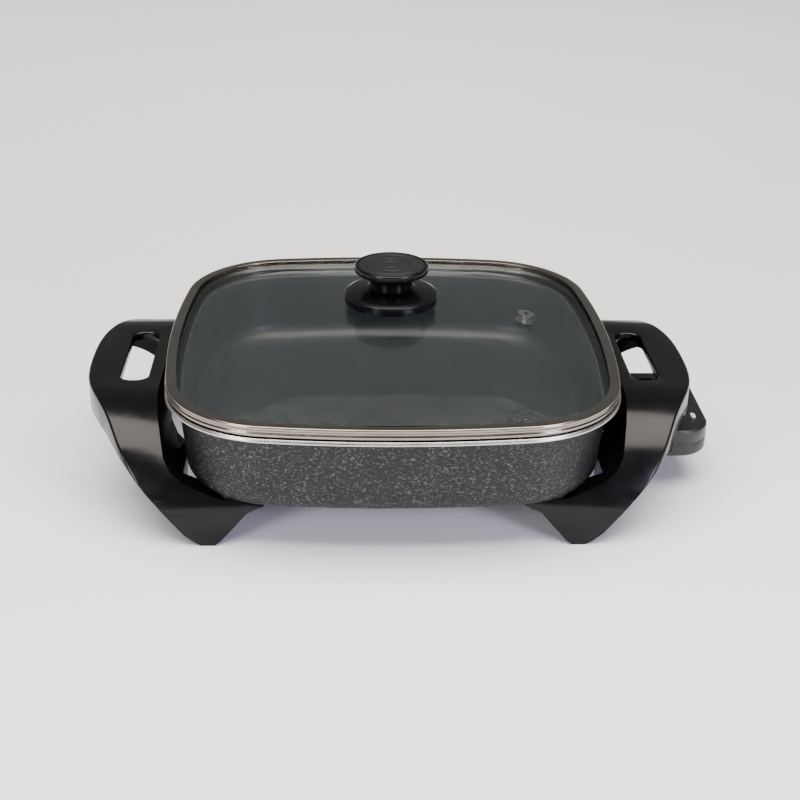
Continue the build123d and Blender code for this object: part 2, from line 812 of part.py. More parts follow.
with BuildPart() as probe_upper_case:
    case_shell(1)
    with BuildSketch(level(control_mid)):
        with Locations(post_places):
            Circle(case_screw_radius)
    extrude(amount=case_hole_depth, mode=Mode.SUBTRACT)
    with BuildSketch(level(case_ceiling)):
        with Locations((dial_x, 0)):
            Circle(shaft_radius + fit_clearance)
        with Locations((lens_x, -lens_place_y)):
            RectangleRounded(lens_width, lens_length, lens_width / 3)
    extrude(amount=case_wall, mode=Mode.SUBTRACT)
keep(probe_upper_case, "probe_upper_case")

with BuildPart() as probe_lower_case:
    case_shell(-1)
    with BuildSketch(level(control_bottom)):
        with Locations(post_places):
            Circle(case_screw_radius + fit_clearance)
    extrude(amount=control_thickness / 2, mode=Mode.SUBTRACT)
    with BuildSketch(level(control_bottom)):
        with Locations(post_places):
            Circle(case_screw_head + fit_clearance)
    extrude(amount=case_screw_sink, mode=Mode.SUBTRACT)
keep(probe_lower_case, "probe_lower_case")

with BuildPart() as case_screws:
    with BuildSketch(level(control_bottom + case_screw_sink)):
        with Locations(post_places):
            Circle(case_screw_radius)
    extrude(amount=case_screw_length)
    with BuildSketch(level(control_bottom + case_screw_sink)):
        with Locations(post_places):
            Circle(case_screw_head)
    extrude(amount=-case_screw_head_height)
    with BuildSketch(level(control_bottom + case_screw_sink - case_screw_head_height)):
        with Locations(post_places):
            Rectangle(2 * driver_slot, driver_slot / 2)
            Rectangle(driver_slot / 2, 2 * driver_slot)
    extrude(amount=driver_depth, mode=Mode.SUBTRACT)
keep(case_screws, "case_screws")

# ---- Sensing rod, contact sockets and the block that holds them
with BuildPart() as sensing_rod:
    with BuildSketch(across(rod_reach, heater_height)):
        Circle(rod_radius)
    extrude(amount=block_end - rod_reach)
    fillet(sensing_rod.edges().group_by(Axis.X)[0], rod_radius / 2)
keep(sensing_rod, "sensing_rod")

with BuildPart() as socket_contacts:
    with BuildSketch(across(guard_inside + insulator_length + joint_gap, heater_height)):
        with GridLocations(pin_spacing, 0, 2, 1):
            Circle(socket_radius)
            Circle(pin_radius + fit_clearance, mode=Mode.SUBTRACT)
    extrude(amount=block_end - guard_inside - insulator_length - joint_gap)
keep(socket_contacts, "socket_contacts")

with BuildPart() as contact_block:
    with BuildSketch(level(case_floor)):
        with Locations((block_start, 0)):
            Rectangle(block_length, block_width, align=(Align.MIN, Align.CENTER))
    extrude(amount=block_height)
    with BuildSketch(across(block_start, heater_height)):
        with GridLocations(pin_spacing, 0, 2, 1):
            Circle(socket_radius)
        Circle(rod_radius)
    extrude(amount=block_length, mode=Mode.SUBTRACT)
    with BuildSketch(level(heater_height)):
        with Locations((block_start + block_length / 2, 0)):
            with GridLocations(0, pin_spacing, 1, 2):
                Circle(terminal_screw_radius)
    extrude(amount=block_height, mode=Mode.SUBTRACT)
keep(contact_block, "contact_block")

with BuildPart() as terminal_screws:
    with BuildSketch(level(heater_height + socket_radius)):
        with Locations((block_start + block_length / 2, 0)):
            with GridLocations(0, pin_spacing, 1, 2):
                Circle(terminal_screw_radius)
    extrude(amount=block_top - heater_height - socket_radius)
    with BuildSketch(level(block_top)):
        with Locations((block_start + block_length / 2, 0)):
            with GridLocations(0, pin_spacing, 1, 2):
                Circle(terminal_screw_head)
    extrude(amount=terminal_screw_head_height)
keep(terminal_screws, "terminal_screws")

# ---- Thermostat: bracket, bimetal, contact spring and stud, earth leaf
with BuildPart() as thermostat_bracket:
    with BuildSketch(level(block_top)):
        with Locations((block_start, 0)):
            Rectangle(bracket_length, bracket_width, align=(Align.MIN, Align.CENTER))
        with Locations((dial_x, 0)):
            Circle(shaft_radius + fit_clearance, mode=Mode.SUBTRACT)
    extrude(amount=bracket_thickness)
keep(thermostat_bracket, "thermostat_bracket")


def leaf(place, width, rise, thickness, length):
    """Flat leaf that leaves the block's far face, at a place across it and a rise over the floor."""
    with BuildSketch(level(case_floor + rise)) as plan:
        with Locations((block_end, place)):
            Rectangle(length, width, align=(Align.MIN, Align.CENTER))
    extrude(plan.sketch, amount=thickness)


with BuildPart() as bimetal_strip:
    leaf(0, bimetal_width, bimetal_rise + rod_radius, bimetal_thickness, bimetal_length)
keep(bimetal_strip, "bimetal_strip")

with BuildPart() as contact_spring:
    leaf(-leaf_place, spring_width, spring_rise, spring_thickness, bimetal_length)
keep(contact_spring, "contact_spring")

with BuildPart() as fixed_contact:
    with BuildSketch(level(case_floor)):
        with Locations((block_end + bimetal_length - stud_size, -leaf_place)):
            Rectangle(stud_size, stud_size)
    extrude(amount=spring_rise - joint_gap)
keep(fixed_contact, "fixed_contact")

with BuildPart() as earth_contact:
    leaf(leaf_place, spring_width, bimetal_rise, earth_thickness, bimetal_length)
keep(earth_contact, "earth_contact")

# ---- Lamp with its lens, and the gland where the lead would enter
with BuildPart() as lamp_lens:
    with BuildSketch(level(case_ceiling)):
        with Locations((lens_x, -lens_place_y)):
            RectangleRounded(lens_width, lens_length, lens_width / 3)
    extrude(amount=case_wall + lens_proud)
keep(lamp_lens, "lamp_lens")

with BuildPart() as indicator_lamp:
    with BuildSketch(level(case_ceiling)):
        with Locations((lens_x, -lens_place_y)):
            Circle(lamp_radius)
    extrude(amount=-lamp_length)
    fillet(indicator_lamp.edges().group_by(Axis.Z)[0], lamp_radius / 2)
keep(indicator_lamp, "indicator_lamp")

with BuildPart() as cord_gland:
    with BuildSketch(across(control_reach, control_mid)):
        with Locations((gland_place, 0)):
            Circle(gland_radius)
    extrude(amount=-gland_length)
    with BuildSketch(across(control_reach - case_wall - joint_gap, control_mid)):
        with Locations((gland_place, 0)):
            Circle(gland_flange_radius)
    extrude(amount=-gland_flange)
    with BuildSketch(across(control_reach, control_mid)):
        with Locations((gland_place, 0)):
            Circle(gland_bore_radius)
    extrude(amount=-gland_length, mode=Mode.SUBTRACT)
keep(cord_gland, "cord_gland")

# ---- Dial, its shaft, the cam that sets the thermostat and the clip that keeps it in
with BuildPart() as dial_knob:
    with BuildSketch(level(dial_bottom)):
        with Locations((dial_x, 0)):
            Circle(dial_radius)
            with PolarLocations(dial_radius + dial_flute_radius / 2, dial_flutes):
                Circle(dial_flute_radius, mode=Mode.SUBTRACT)
    extrude(amount=dial_height)
    with BuildSketch(level(dial_bottom + dial_height)):
        with Locations((dial_x, 0)):
            Circle(dial_radius - 2 * dial_flute_radius)
    extrude(amount=-dial_edge, mode=Mode.SUBTRACT)
    with BuildSketch(level(dial_bottom + dial_height - dial_edge)):
        with Locations((dial_x, -dial_radius / 2)):
            RectangleRounded(dial_flute_radius, dial_radius / 2, dial_flute_radius / 3)
    extrude(amount=dial_edge)
    with BuildSketch(level(dial_bottom)):
        with Locations((dial_x, 0)):
            Circle(shaft_radius)
    extrude(amount=shaft_depth, mode=Mode.SUBTRACT)
keep(dial_knob, "dial_knob")

with BuildPart() as dial_shaft:
    with BuildSketch(level(block_top)):
        with Locations((dial_x, 0)):
            Circle(shaft_radius)
    extrude(amount=dial_bottom + shaft_depth - block_top)
keep(dial_shaft, "dial_shaft")

with BuildPart() as thermostat_cam:
    with BuildSketch(level(bracket_top + cam_gap)):
        with Locations((dial_x, 0)):
            Circle(cam_radius - cam_lift)
        with Locations((dial_x - cam_lift, 0)):
            Circle(cam_radius - cam_lift)
        with Locations((dial_x, 0)):
            Circle(shaft_radius, mode=Mode.SUBTRACT)
    extrude(amount=cam_thickness)
keep(thermostat_cam, "thermostat_cam")

with BuildPart() as dial_clip:
    with BuildSketch(level(case_ceiling - clip_rise)):
        with Locations((dial_x, 0)):
            Circle(clip_radius)
            Circle(shaft_radius, mode=Mode.SUBTRACT)
        with Locations((dial_x + clip_radius, 0)):
            Rectangle(2 * clip_radius, shaft_radius, mode=Mode.SUBTRACT)
    extrude(amount=clip_thickness)
keep(dial_clip, "dial_clip")
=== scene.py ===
"""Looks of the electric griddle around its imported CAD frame: surfaces, finishes, stage and camera."""

from math import asin, atan2, pi, radians, sqrt, tan

import bmesh
import bpy
import numpy as np
from bpy.props import FloatProperty, FloatVectorProperty, PointerProperty
from mathutils import Matrix, Vector


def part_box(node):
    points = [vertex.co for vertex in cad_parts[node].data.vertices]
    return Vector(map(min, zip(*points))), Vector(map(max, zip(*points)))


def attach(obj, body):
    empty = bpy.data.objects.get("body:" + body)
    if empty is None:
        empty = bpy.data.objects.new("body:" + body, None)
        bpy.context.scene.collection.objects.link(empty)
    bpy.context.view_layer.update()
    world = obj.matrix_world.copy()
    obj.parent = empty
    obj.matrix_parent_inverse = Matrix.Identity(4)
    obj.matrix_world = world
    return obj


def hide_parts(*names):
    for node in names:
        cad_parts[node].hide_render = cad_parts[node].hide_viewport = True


bl_info = {
    "name": "Electric griddle",
    "version": (1, 0, 0),
    "blender": (4, 5, 0),
    "location": "View3D > Sidebar > Griddle",
    "description": "Builds a square cast electric griddle with a glass lid around its CAD frame",
    "category": "Object",
}

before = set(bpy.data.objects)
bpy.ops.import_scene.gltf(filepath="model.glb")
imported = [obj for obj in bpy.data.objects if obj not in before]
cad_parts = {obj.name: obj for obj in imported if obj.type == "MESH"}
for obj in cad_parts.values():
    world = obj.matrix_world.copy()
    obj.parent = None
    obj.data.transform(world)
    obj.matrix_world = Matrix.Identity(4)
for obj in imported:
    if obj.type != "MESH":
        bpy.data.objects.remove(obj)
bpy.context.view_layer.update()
MM = 0.001
BAND_LOW, BAND_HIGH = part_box("lid_band")
PAN_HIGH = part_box("pan_body")[1]
GLASS_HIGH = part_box("lid_glass")[1]
DISC_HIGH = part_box("knob_body")[1]
DIAL_LOW, DIAL_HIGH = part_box("dial_knob")
CASE_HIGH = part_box("probe_upper_case")[1]
CENTRE = (BAND_LOW + BAND_HIGH) / 2


def linear(code):
    """Linear RGBA of an sRGB hex value: the standard curve, a line near black and a 2.4 power above."""
    channels = np.array([int(code[i : i + 2], 16) for i in (1, 3, 5)]) / 255
    curve = np.where(channels <= 0.04045, channels / 12.92, ((channels + 0.055) / 1.055) ** 2.4)
    return (*curve.tolist(), 1.0)


# ---- Sizes and colours a user would change


def length(name, description, value):
    """A length property whose value is given in millimetres."""
    return FloatProperty(name=name, description=description, default=value * MM, unit="LENGTH", precision=5)


def colour(name, description, code):
    """A colour property whose default is an sRGB hex value."""
    return FloatVectorProperty(
        name=name, description=description, default=linear(code), size=4, subtype="COLOR", min=0, max=1
    )


class GriddleSizes(bpy.types.PropertyGroup):
    """Sizes of the surfaces that stand for CAD nodes."""

    side_radius: length("Side radius", "Radius of the long arcs of the plan outline", 700)
    corner_radius: length("Corner radius", "Radius of the corner arcs of the plan outline", 75)
    base_height: length("Base height", "Height of the pan's underside over the table", 32)
    floor_height: length("Floor height", "Height of the cooking floor over the table", 37.5)
    lip_overhang: length("Lip overhang", "How far the pan's lip stands out past the lid band", 1)
    lip_height: length("Lip height", "Height of the pan's lip", 3)
    neck_inset: length("Neck inset", "How far the wall under the lip stands in from the lid band", 7.5)
    wall: length("Wall", "Thickness of the cast wall", 4)
    bottom_radius: length("Bottom radius", "Radius round the pan's lower outside edge", 13)
    floor_radius: length("Floor radius", "Radius between the cooking floor and the wall", 14)
    band_roll: length("Band roll", "Radius of the rolled edges of the lid band", 2.2)
    band_flange: length("Band flange", "Width of the lid band seen from above", 7)
    band_sheet: length("Band sheet", "Thickness of the lid band's sheet", 1.2)
    glass_thickness: length("Glass thickness", "Thickness of the lid glass", 4)
    dome_rise: length("Dome rise", "Rise of the lid glass at its middle", 26.5)
    disc_radius: length("Disc radius", "Radius of the knob's top disc", 25.75)
    neck_radius: length("Neck radius", "Radius of the knob's neck", 15)
    skirt_radius: length("Skirt radius", "Radius of the knob's skirt", 32.5)
    moulding_edge: length("Moulding edge", "Width of the rounding on the handles' edges", 1.1)


class GriddleColours(bpy.types.PropertyGroup):
    """Colours of the finishes."""

    enamel: colour("Enamel", "Charcoal enamel between the flecks", "#0e0f10")
    fleck: colour("Fleck", "Silver flecks on the crests of the enamel", "#5f6064")
    coating: colour("Non-stick coat", "Non-stick coat inside the pan", "#1c2325")
    aluminium: colour("Aluminium", "Bare machined lip of the pan", "#c4c4c0")
    stainless: colour("Stainless steel", "Polished lid band and small hardware", "#8f8880")
    phenolic: colour("Phenolic", "Black phenolic of the handles and knob", "#070709")
    case: colour("Case plastic", "Black plastic of the control", "#111214")
    glass: colour("Glass", "Faint green of the lid glass", "#f1f8f2")
    floor: colour("Floor", "Pale floor of the stage", "#f4f4f4")


# ---- Surfaces


def arc_centres(sizes):
    """How far the side arc's centre lies behind the middle, and the corner arc's centre off it.

    The outline is four long arcs and four corner arcs that touch. The corner centre (c, c) is the
    difference d of the two radii away from the side arc's centre (-s, 0), so
    c = (sqrt(2 d^2 - s^2) - s) / 2.
    """
    offset = sizes.side_radius - (BAND_HIGH.x - BAND_LOW.x) / 2
    gap = sizes.side_radius - sizes.corner_radius
    return offset, (sqrt(2 * gap**2 - offset**2) - offset) / 2


def plan_arcs(sizes, per_side=20, per_corner=36):
    """Centre, radius and outward normal of each column round the plan outline.

    The arcs meet where the normal is at atan2(c, c + s), with c and s as arc_centres gives them.
    A quarter is worked out and turned four times.
    """
    offset, corner = arc_centres(sizes)
    meet = atan2(corner, corner + offset)
    side = np.linspace(-meet, meet, per_side, endpoint=False)
    bend = np.linspace(meet, pi / 2 - meet, per_corner, endpoint=False)
    angles = np.concatenate([side, bend])
    side_centres = np.full(per_side, complex(-offset, 0))
    corner_centres = np.full(per_corner, complex(corner, corner))
    centres = np.concatenate([side_centres, corner_centres])
    reach = np.concatenate([np.full(per_side, sizes.side_radius), np.full(per_corner, sizes.corner_radius)])
    turns = np.exp(0.5j * pi * np.arange(4))[:, None]
    return (centres * turns).ravel(), np.tile(reach, 4), (np.exp(1j * angles) * turns).ravel()


def inset_of(sizes, x, y):
    """How far points lie inside the outline: the arc's radius less the distance from its centre."""
    offset, corner = arc_centres(sizes)
    far, near = np.maximum(abs(x), abs(y)), np.minimum(abs(x), abs(y))
    in_corner = (near - corner) * (corner + offset) > (far - corner) * corner
    side_inset = sizes.side_radius - np.hypot(far + offset, near)
    corner_inset = sizes.corner_radius - np.hypot(far - corner, near - corner)
    return np.where(in_corner & (far > corner), corner_inset, side_inset)


def swept(sizes, profile):
    """Grid of a profile carried round the plan outline.

    Each profile row is (inset, height, share): the outline moved in by the inset, scaled by the
    share towards the middle, at the height.
    """
    centres, reach, normals = plan_arcs(sizes)
    inset, height, share = (np.asarray(profile)[:, k, None] for k in range(3))
    flat = (centres + (reach - inset) * normals) * share
    return np.stack([flat.real + CENTRE.x, flat.imag + CENTRE.y, height + 0 * flat.real], -1)


def turned(profile, columns=144):
    """Grid of a profile of (radius, height) turned about the lid's axis."""
    angles = np.arange(columns) * 2 * pi / columns
    radius, height = (np.asarray(profile)[:, k, None] for k in range(2))
    return np.stack(
        [CENTRE.x + radius * np.cos(angles), CENTRE.y + radius * np.sin(angles), height + 0 * angles], -1
    )


def rounded(corners, closed=False, steps=6):
    """Profile whose corners (across, height, radius) are arcs.

    The arc's centre lies on the corner's bisector at radius / sin(half angle), and its points are
    the spherical blend of the two radii that meet the sides.
    """
    corners = np.asarray(corners, float)
    places, count, made = corners[:, :2], len(corners), []
    for i, (place, radius) in enumerate(zip(places, corners[:, 2], strict=True)):
        if radius == 0 or (not closed and i in (0, count - 1)):
            made.append(place[None])
            continue
        back = places[i - 1] - place
        on = places[(i + 1) % count] - place
        back, on = back / np.hypot(*back), on / np.hypot(*on)
        half = asin(min(1.0, float(np.hypot(*(back - on))) / 2))
        middle = place + (back + on) / np.hypot(*(back + on)) * radius / np.sin(half)
        touch = radius / np.tan(half)
        first, last = place + back * touch - middle, place + on * touch - middle
        swing = pi - 2 * half
        part = np.linspace(0, 1, steps + 1)[:, None]
        blend = np.sin((1 - part) * swing) * first + np.sin(part * swing) * last
        made.append(middle + blend / np.sin(swing))
    return np.concatenate(made)


def with_share(profile, share=1.0):
    """The profile with a share column."""
    return np.column_stack([profile, np.full(len(profile), share)])


def surface(name, grid, caps=(False, False), loop=False, zones=None):
    """Object of a grid of points (row, column), closed round its columns.

    Rows close too when loop is true, and a cap closes an end row with a fan to its middle. Faces
    are turned outwards by the sign of the volume: a sixth of the sum of the triple products.
    """
    rows, columns, _ = grid.shape
    index = np.arange(rows * columns).reshape(rows, columns)
    lower, upper = (index, np.roll(index, -1, 0)) if loop else (index[:-1], index[1:])
    quads = np.stack([lower, np.roll(lower, -1, 1), np.roll(upper, -1, 1), upper], -1).reshape(-1, 4)
    points = [grid.reshape(-1, 3)]
    fans = []
    for cap, ring in zip(caps, (index[0][::-1], index[-1]), strict=True):
        if cap:
            tip = rows * columns + len(fans)
            points.append(grid.reshape(-1, 3)[ring].mean(0)[None])
            fans.append(np.stack([ring, np.roll(ring, -1), np.full(columns, tip)], -1))
    points = np.concatenate(points)
    triangles = np.concatenate([quads[:, :3], quads[:, [0, 2, 3]], *fans])
    a, b, c = (points[triangles[:, k]] - points.mean(0) for k in range(3))
    if np.einsum("ij,ij->", a, np.cross(b, c)) < 0:
        quads = quads[:, ::-1]
        fans = [fan[:, ::-1] for fan in fans]
    mesh = bpy.data.meshes.new(name)
    mesh.from_pydata(points, [], quads.tolist() + [face for fan in fans for face in fan.tolist()])
    mesh.shade_smooth()
    if zones is not None:
        ends = [np.full(columns, zones[k]) for cap, k in zip(caps, (0, -1), strict=True) if cap]
        mesh.polygons.foreach_set("material_index", np.concatenate([np.repeat(zones, columns), *ends]))
    made = bpy.data.objects.new(name, mesh)
    bpy.context.scene.collection.objects.link(made)
    return made


def boxes(name, middles, directions, size):
    """Object of small bevelled bars of one size, each along its own direction in plan."""
    corner = np.array([(x, y) for x, y in ((-1, -1), (1, -1), (1, 1), (-1, 1))], float) / 2
    # Each ring's share of the bar's height and of its size in plan
    lift = np.array([(0.0, 1.0), (0.8, 1.0), (1.0, 0.6)])
    middles, directions = np.asarray(middles), np.asarray(directions)
    count, rings = len(middles), len(lift)
    along, wide = directions, np.stack([-directions[:, 1], directions[:, 0]], -1)
    lengthwise = corner[None, :, 0, None] * along[:, None] * size[0]
    flat = lengthwise + corner[None, :, 1, None] * wide[:, None] * size[1]
    rows = middles[:, None, None, :2] + flat[:, None] * lift[None, :, 1, None, None]
    heights = middles[:, None, None, 2:] + lift[None, :, 0, None, None] * size[2] + 0 * rows[..., :1]
    points = np.concatenate([rows, heights], -1).reshape(-1, 3)
    index = np.arange(4 * rings).reshape(rings, 4)
    sides = np.stack([index[:-1], np.roll(index[:-1], -1, 1), np.roll(index[1:], -1, 1), index[1:]], -1)
    faces = np.concatenate([sides.reshape(-1, 4), index[-1][None], index[0][::-1][None]])
    faces = (faces[None] + 4 * rings * np.arange(count)[:, None, None]).reshape(-1, 4)
    mesh = bpy.data.meshes.new(name)
    mesh.from_pydata(points, [], faces.tolist())
    made = bpy.data.objects.new(name, mesh)
    bpy.context.scene.collection.objects.link(made)
    return made


def merged_copy(node, name, keep=None, join_gap=2e-6, flat_angle=radians(0.8)):
    """Copy of a CAD node with its loose triangles joined and flat ones merged.

    keep takes the faces' middles and lowest heights and tells which of them stay.
    """
    mesh = bmesh.new()
    mesh.from_mesh(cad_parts[node].data)
    bmesh.ops.remove_doubles(mesh, verts=mesh.verts, dist=join_gap)
    if keep is not None:
        middles = np.array([face.calc_center_median() for face in mesh.faces])
        lowest = np.array([min(v.co.z for v in face.verts) for face in mesh.faces])
        gone = [face for face, stays in zip(mesh.faces, keep(middles, lowest), strict=True) if not stays]
        bmesh.ops.delete(mesh, geom=gone, context="FACES")
    bmesh.ops.dissolve_limit(mesh, angle_limit=flat_angle, verts=mesh.verts, edges=mesh.edges)
    data = bpy.data.meshes.new(name)
    mesh.to_mesh(data)
    mesh.free()
    data.shade_smooth()
    made = bpy.data.objects.new(name, data)
    bpy.context.scene.collection.objects.link(made)
    return made


def soften(piece, width, angle=radians(32), segments=3):
    """Bevels the edges sharper than an angle and carries the flats' normals into the bevels."""
    bevel = piece.modifiers.new("edges", "BEVEL")
    bevel.width = width
    bevel.segments = segments
    bevel.limit_method = "ANGLE"
    bevel.angle_limit = angle
    bevel.harden_normals = True
    return piece


# ---- Finishes


def add_node(tree, kind, settings=None, inputs=None):
    """Adds a node with its own settings and its inputs, each a value or another node's output."""
    made = tree.nodes.new(kind)
    for name, value in (settings or {}).items():
        setattr(made, name, value)
    for name, value in (inputs or {}).items():
        if isinstance(value, bpy.types.NodeSocket):
            tree.links.new(value, made.inputs[name])
        else:
            made.inputs[name].default_value = value
    return made


def ramp(tree, factor, *stops):
    """Colour of a factor from stops of (place, colour)."""
    made = add_node(tree, "ShaderNodeValToRGB", None, {"Fac": factor})
    elements = made.color_ramp.elements
    while len(elements) < len(stops):
        elements.new(0.5)
    for element, (place, shade) in zip(elements, stops, strict=True):
        element.position = place
        element.color = shade
    return made.outputs["Color"]


def grey(value):
    """A grey of one value."""
    return (value, value, value, 1.0)


def shade(tone, factor):
    """A colour scaled by a factor."""
    return (*(min(1.0, c * factor) for c in tone[:3]), 1.0)


def grain(tree, place, size_mm, detail=3.0, stretch=(1, 1, 1), distortion=0.0):
    """Noise whose grains are about a size in millimetres, stretched along an axis."""
    scale = tuple(1 / (size_mm * MM * k) for k in stretch)
    scaled = add_node(tree, "ShaderNodeMapping", None, {"Vector": place, "Scale": scale})
    noise = add_node(
        tree,
        "ShaderNodeTexNoise",
        None,
        {
            "Vector": scaled.outputs["Vector"],
            "Scale": 1.0,
            "Detail": detail,
            "Roughness": 0.55,
            "Distortion": distortion,
        },
    )
    return noise.outputs["Fac"]


def new_finish(name, values):
    """An empty finish: its tree, its object coordinates and its shader with sockets already set."""
    material = bpy.data.materials.new(name)
    material.use_nodes = True
    tree = material.node_tree
    tree.nodes.clear()
    place = add_node(tree, "ShaderNodeTexCoord").outputs["Object"]
    shader = add_node(tree, "ShaderNodeBsdfPrincipled", None, values)
    output = add_node(tree, "ShaderNodeOutputMaterial", None, {"Surface": shader.outputs["BSDF"]})
    output.target = "ALL"
    return material, tree, place, shader


def bump(tree, shader, height, depth_mm, strength=1.0):
    """Bumps the shader by a height times a depth in millimetres."""
    made = add_node(
        tree, "ShaderNodeBump", None, {"Height": height, "Distance": depth_mm * MM, "Strength": strength}
    )
    tree.links.new(made.outputs["Normal"], shader.inputs["Normal"])


def moulded(name, tone, rough, grain_mm, depth_mm, mottle_mm=14, spread=0.25, stretch=(1, 1, 1), **values):
    """A finish with slow mottling of its colour and gloss and a fine grain in relief.

    rough is the lowest and highest roughness, and spread how far the colour wanders.
    """
    material, tree, place, shader = new_finish(name, values)
    slow = grain(tree, place, mottle_mm, 2.0)
    tones = ramp(tree, slow, (0.3, shade(tone, 1 - spread)), (0.7, shade(tone, 1 + spread)))
    tree.links.new(tones, shader.inputs["Base Color"])
    fine = grain(tree, place, grain_mm, 3.0, stretch)
    mixed = add_node(tree, "ShaderNodeMath", {"operation": "MULTIPLY"}, {0: slow, 1: fine})
    # The product of the two noises runs from about 0.1 to 0.42
    limits = {"From Min": 0.1, "From Max": 0.42, "To Min": rough[0], "To Max": rough[1]}
    spans = add_node(tree, "ShaderNodeMapRange", None, {"Value": mixed.outputs[0], **limits})
    tree.links.new(spans.outputs["Result"], shader.inputs["Roughness"])
    bump(tree, shader, fine, depth_mm)
    return material


def hammered_enamel(tones):
    """Hammered charcoal enamel, sprayed so that it wrinkles: dark valleys, crests with silver flecks.

    The wrinkles are drawn at 2 mm and the flecks at 1.3 mm, as coarse as they need to show.
    """
    gloss = {"IOR": 1.5, "Specular IOR Level": 0.35}
    material, tree, place, shader = new_finish("hammered_charcoal_enamel", gloss)
    wrinkle = grain(tree, place, 2.0, 3.0, (1.2, 1.2, 0.9), 1.6)
    fleck = grain(tree, place, 1.3, 2.0, (1.3, 1.3, 0.8), 0.8)
    slow = grain(tree, place, 30, 1.0)
    crest = add_node(tree, "ShaderNodeMath", {"operation": "MULTIPLY"}, {0: wrinkle, 1: fleck})
    # Slow drift adds up to 0.06 to the crests, so the flecks thicken and thin over the pan
    drift = {0: slow, 1: 0.06, 2: crest.outputs[0]}
    lifted = add_node(tree, "ShaderNodeMath", {"operation": "MULTIPLY_ADD"}, drift)
    tone = ramp(
        tree,
        lifted.outputs[0],
        (0.20, shade(tones.enamel, 0.6)),
        (0.30, tones.enamel),
        (0.35, shade(tones.fleck, 0.3)),
        (0.42, tones.fleck),
    )
    tree.links.new(tone, shader.inputs["Base Color"])
    metal = ramp(tree, lifted.outputs[0], (0.28, grey(0.1)), (0.42, grey(0.7)))
    tree.links.new(metal, shader.inputs["Metallic"])
    rough = ramp(tree, lifted.outputs[0], (0.20, grey(0.5)), (0.42, grey(0.34)))
    tree.links.new(rough, shader.inputs["Roughness"])
    bump(tree, shader, crest.outputs[0], 0.8, 0.9)
    return material


def nonstick_coat(tones):
    """Sprayed non-stick coat: satin, very finely pebbled, with faint lighter specks and spray clouds."""
    material, tree, place, shader = new_finish("satin_nonstick_coat", {"IOR": 1.42})
    pebble = grain(tree, place, 0.7, 2.0)
    cloud = grain(tree, place, 45, 2.0)
    speck = add_node(tree, "ShaderNodeMath", {"operation": "MULTIPLY"}, {0: pebble, 1: cloud})
    tone = ramp(
        tree,
        speck.outputs[0],
        (0.15, shade(tones.coating, 0.85)),
        (0.32, tones.coating),
        (0.44, shade(tones.coating, 1.6)),
    )
    tree.links.new(tone, shader.inputs["Base Color"])
    rough = ramp(tree, cloud, (0.3, grey(0.3)), (0.7, grey(0.36)))
    tree.links.new(rough, shader.inputs["Roughness"])
    bump(tree, shader, pebble, 0.015)
    return material


def clear_glass(tones):
    """Tempered soda-lime glass: clear, faintly green, with a slight waviness from bending.

    The alpha lets light straight through to the pan, as clear glass does.
    """
    material, tree, place, shader = new_finish(
        "tempered_glass", {"IOR": 1.5, "Transmission Weight": 1.0, "Roughness": 0.0, "Alpha": 0.25}
    )
    slow = grain(tree, place, 60, 1.0)
    tone = ramp(tree, slow, (0.3, shade(tones.glass, 0.985)), (0.7, tones.glass))
    tree.links.new(tone, shader.inputs["Base Color"])
    bump(tree, shader, slow, 0.06, 0.3)
    return material


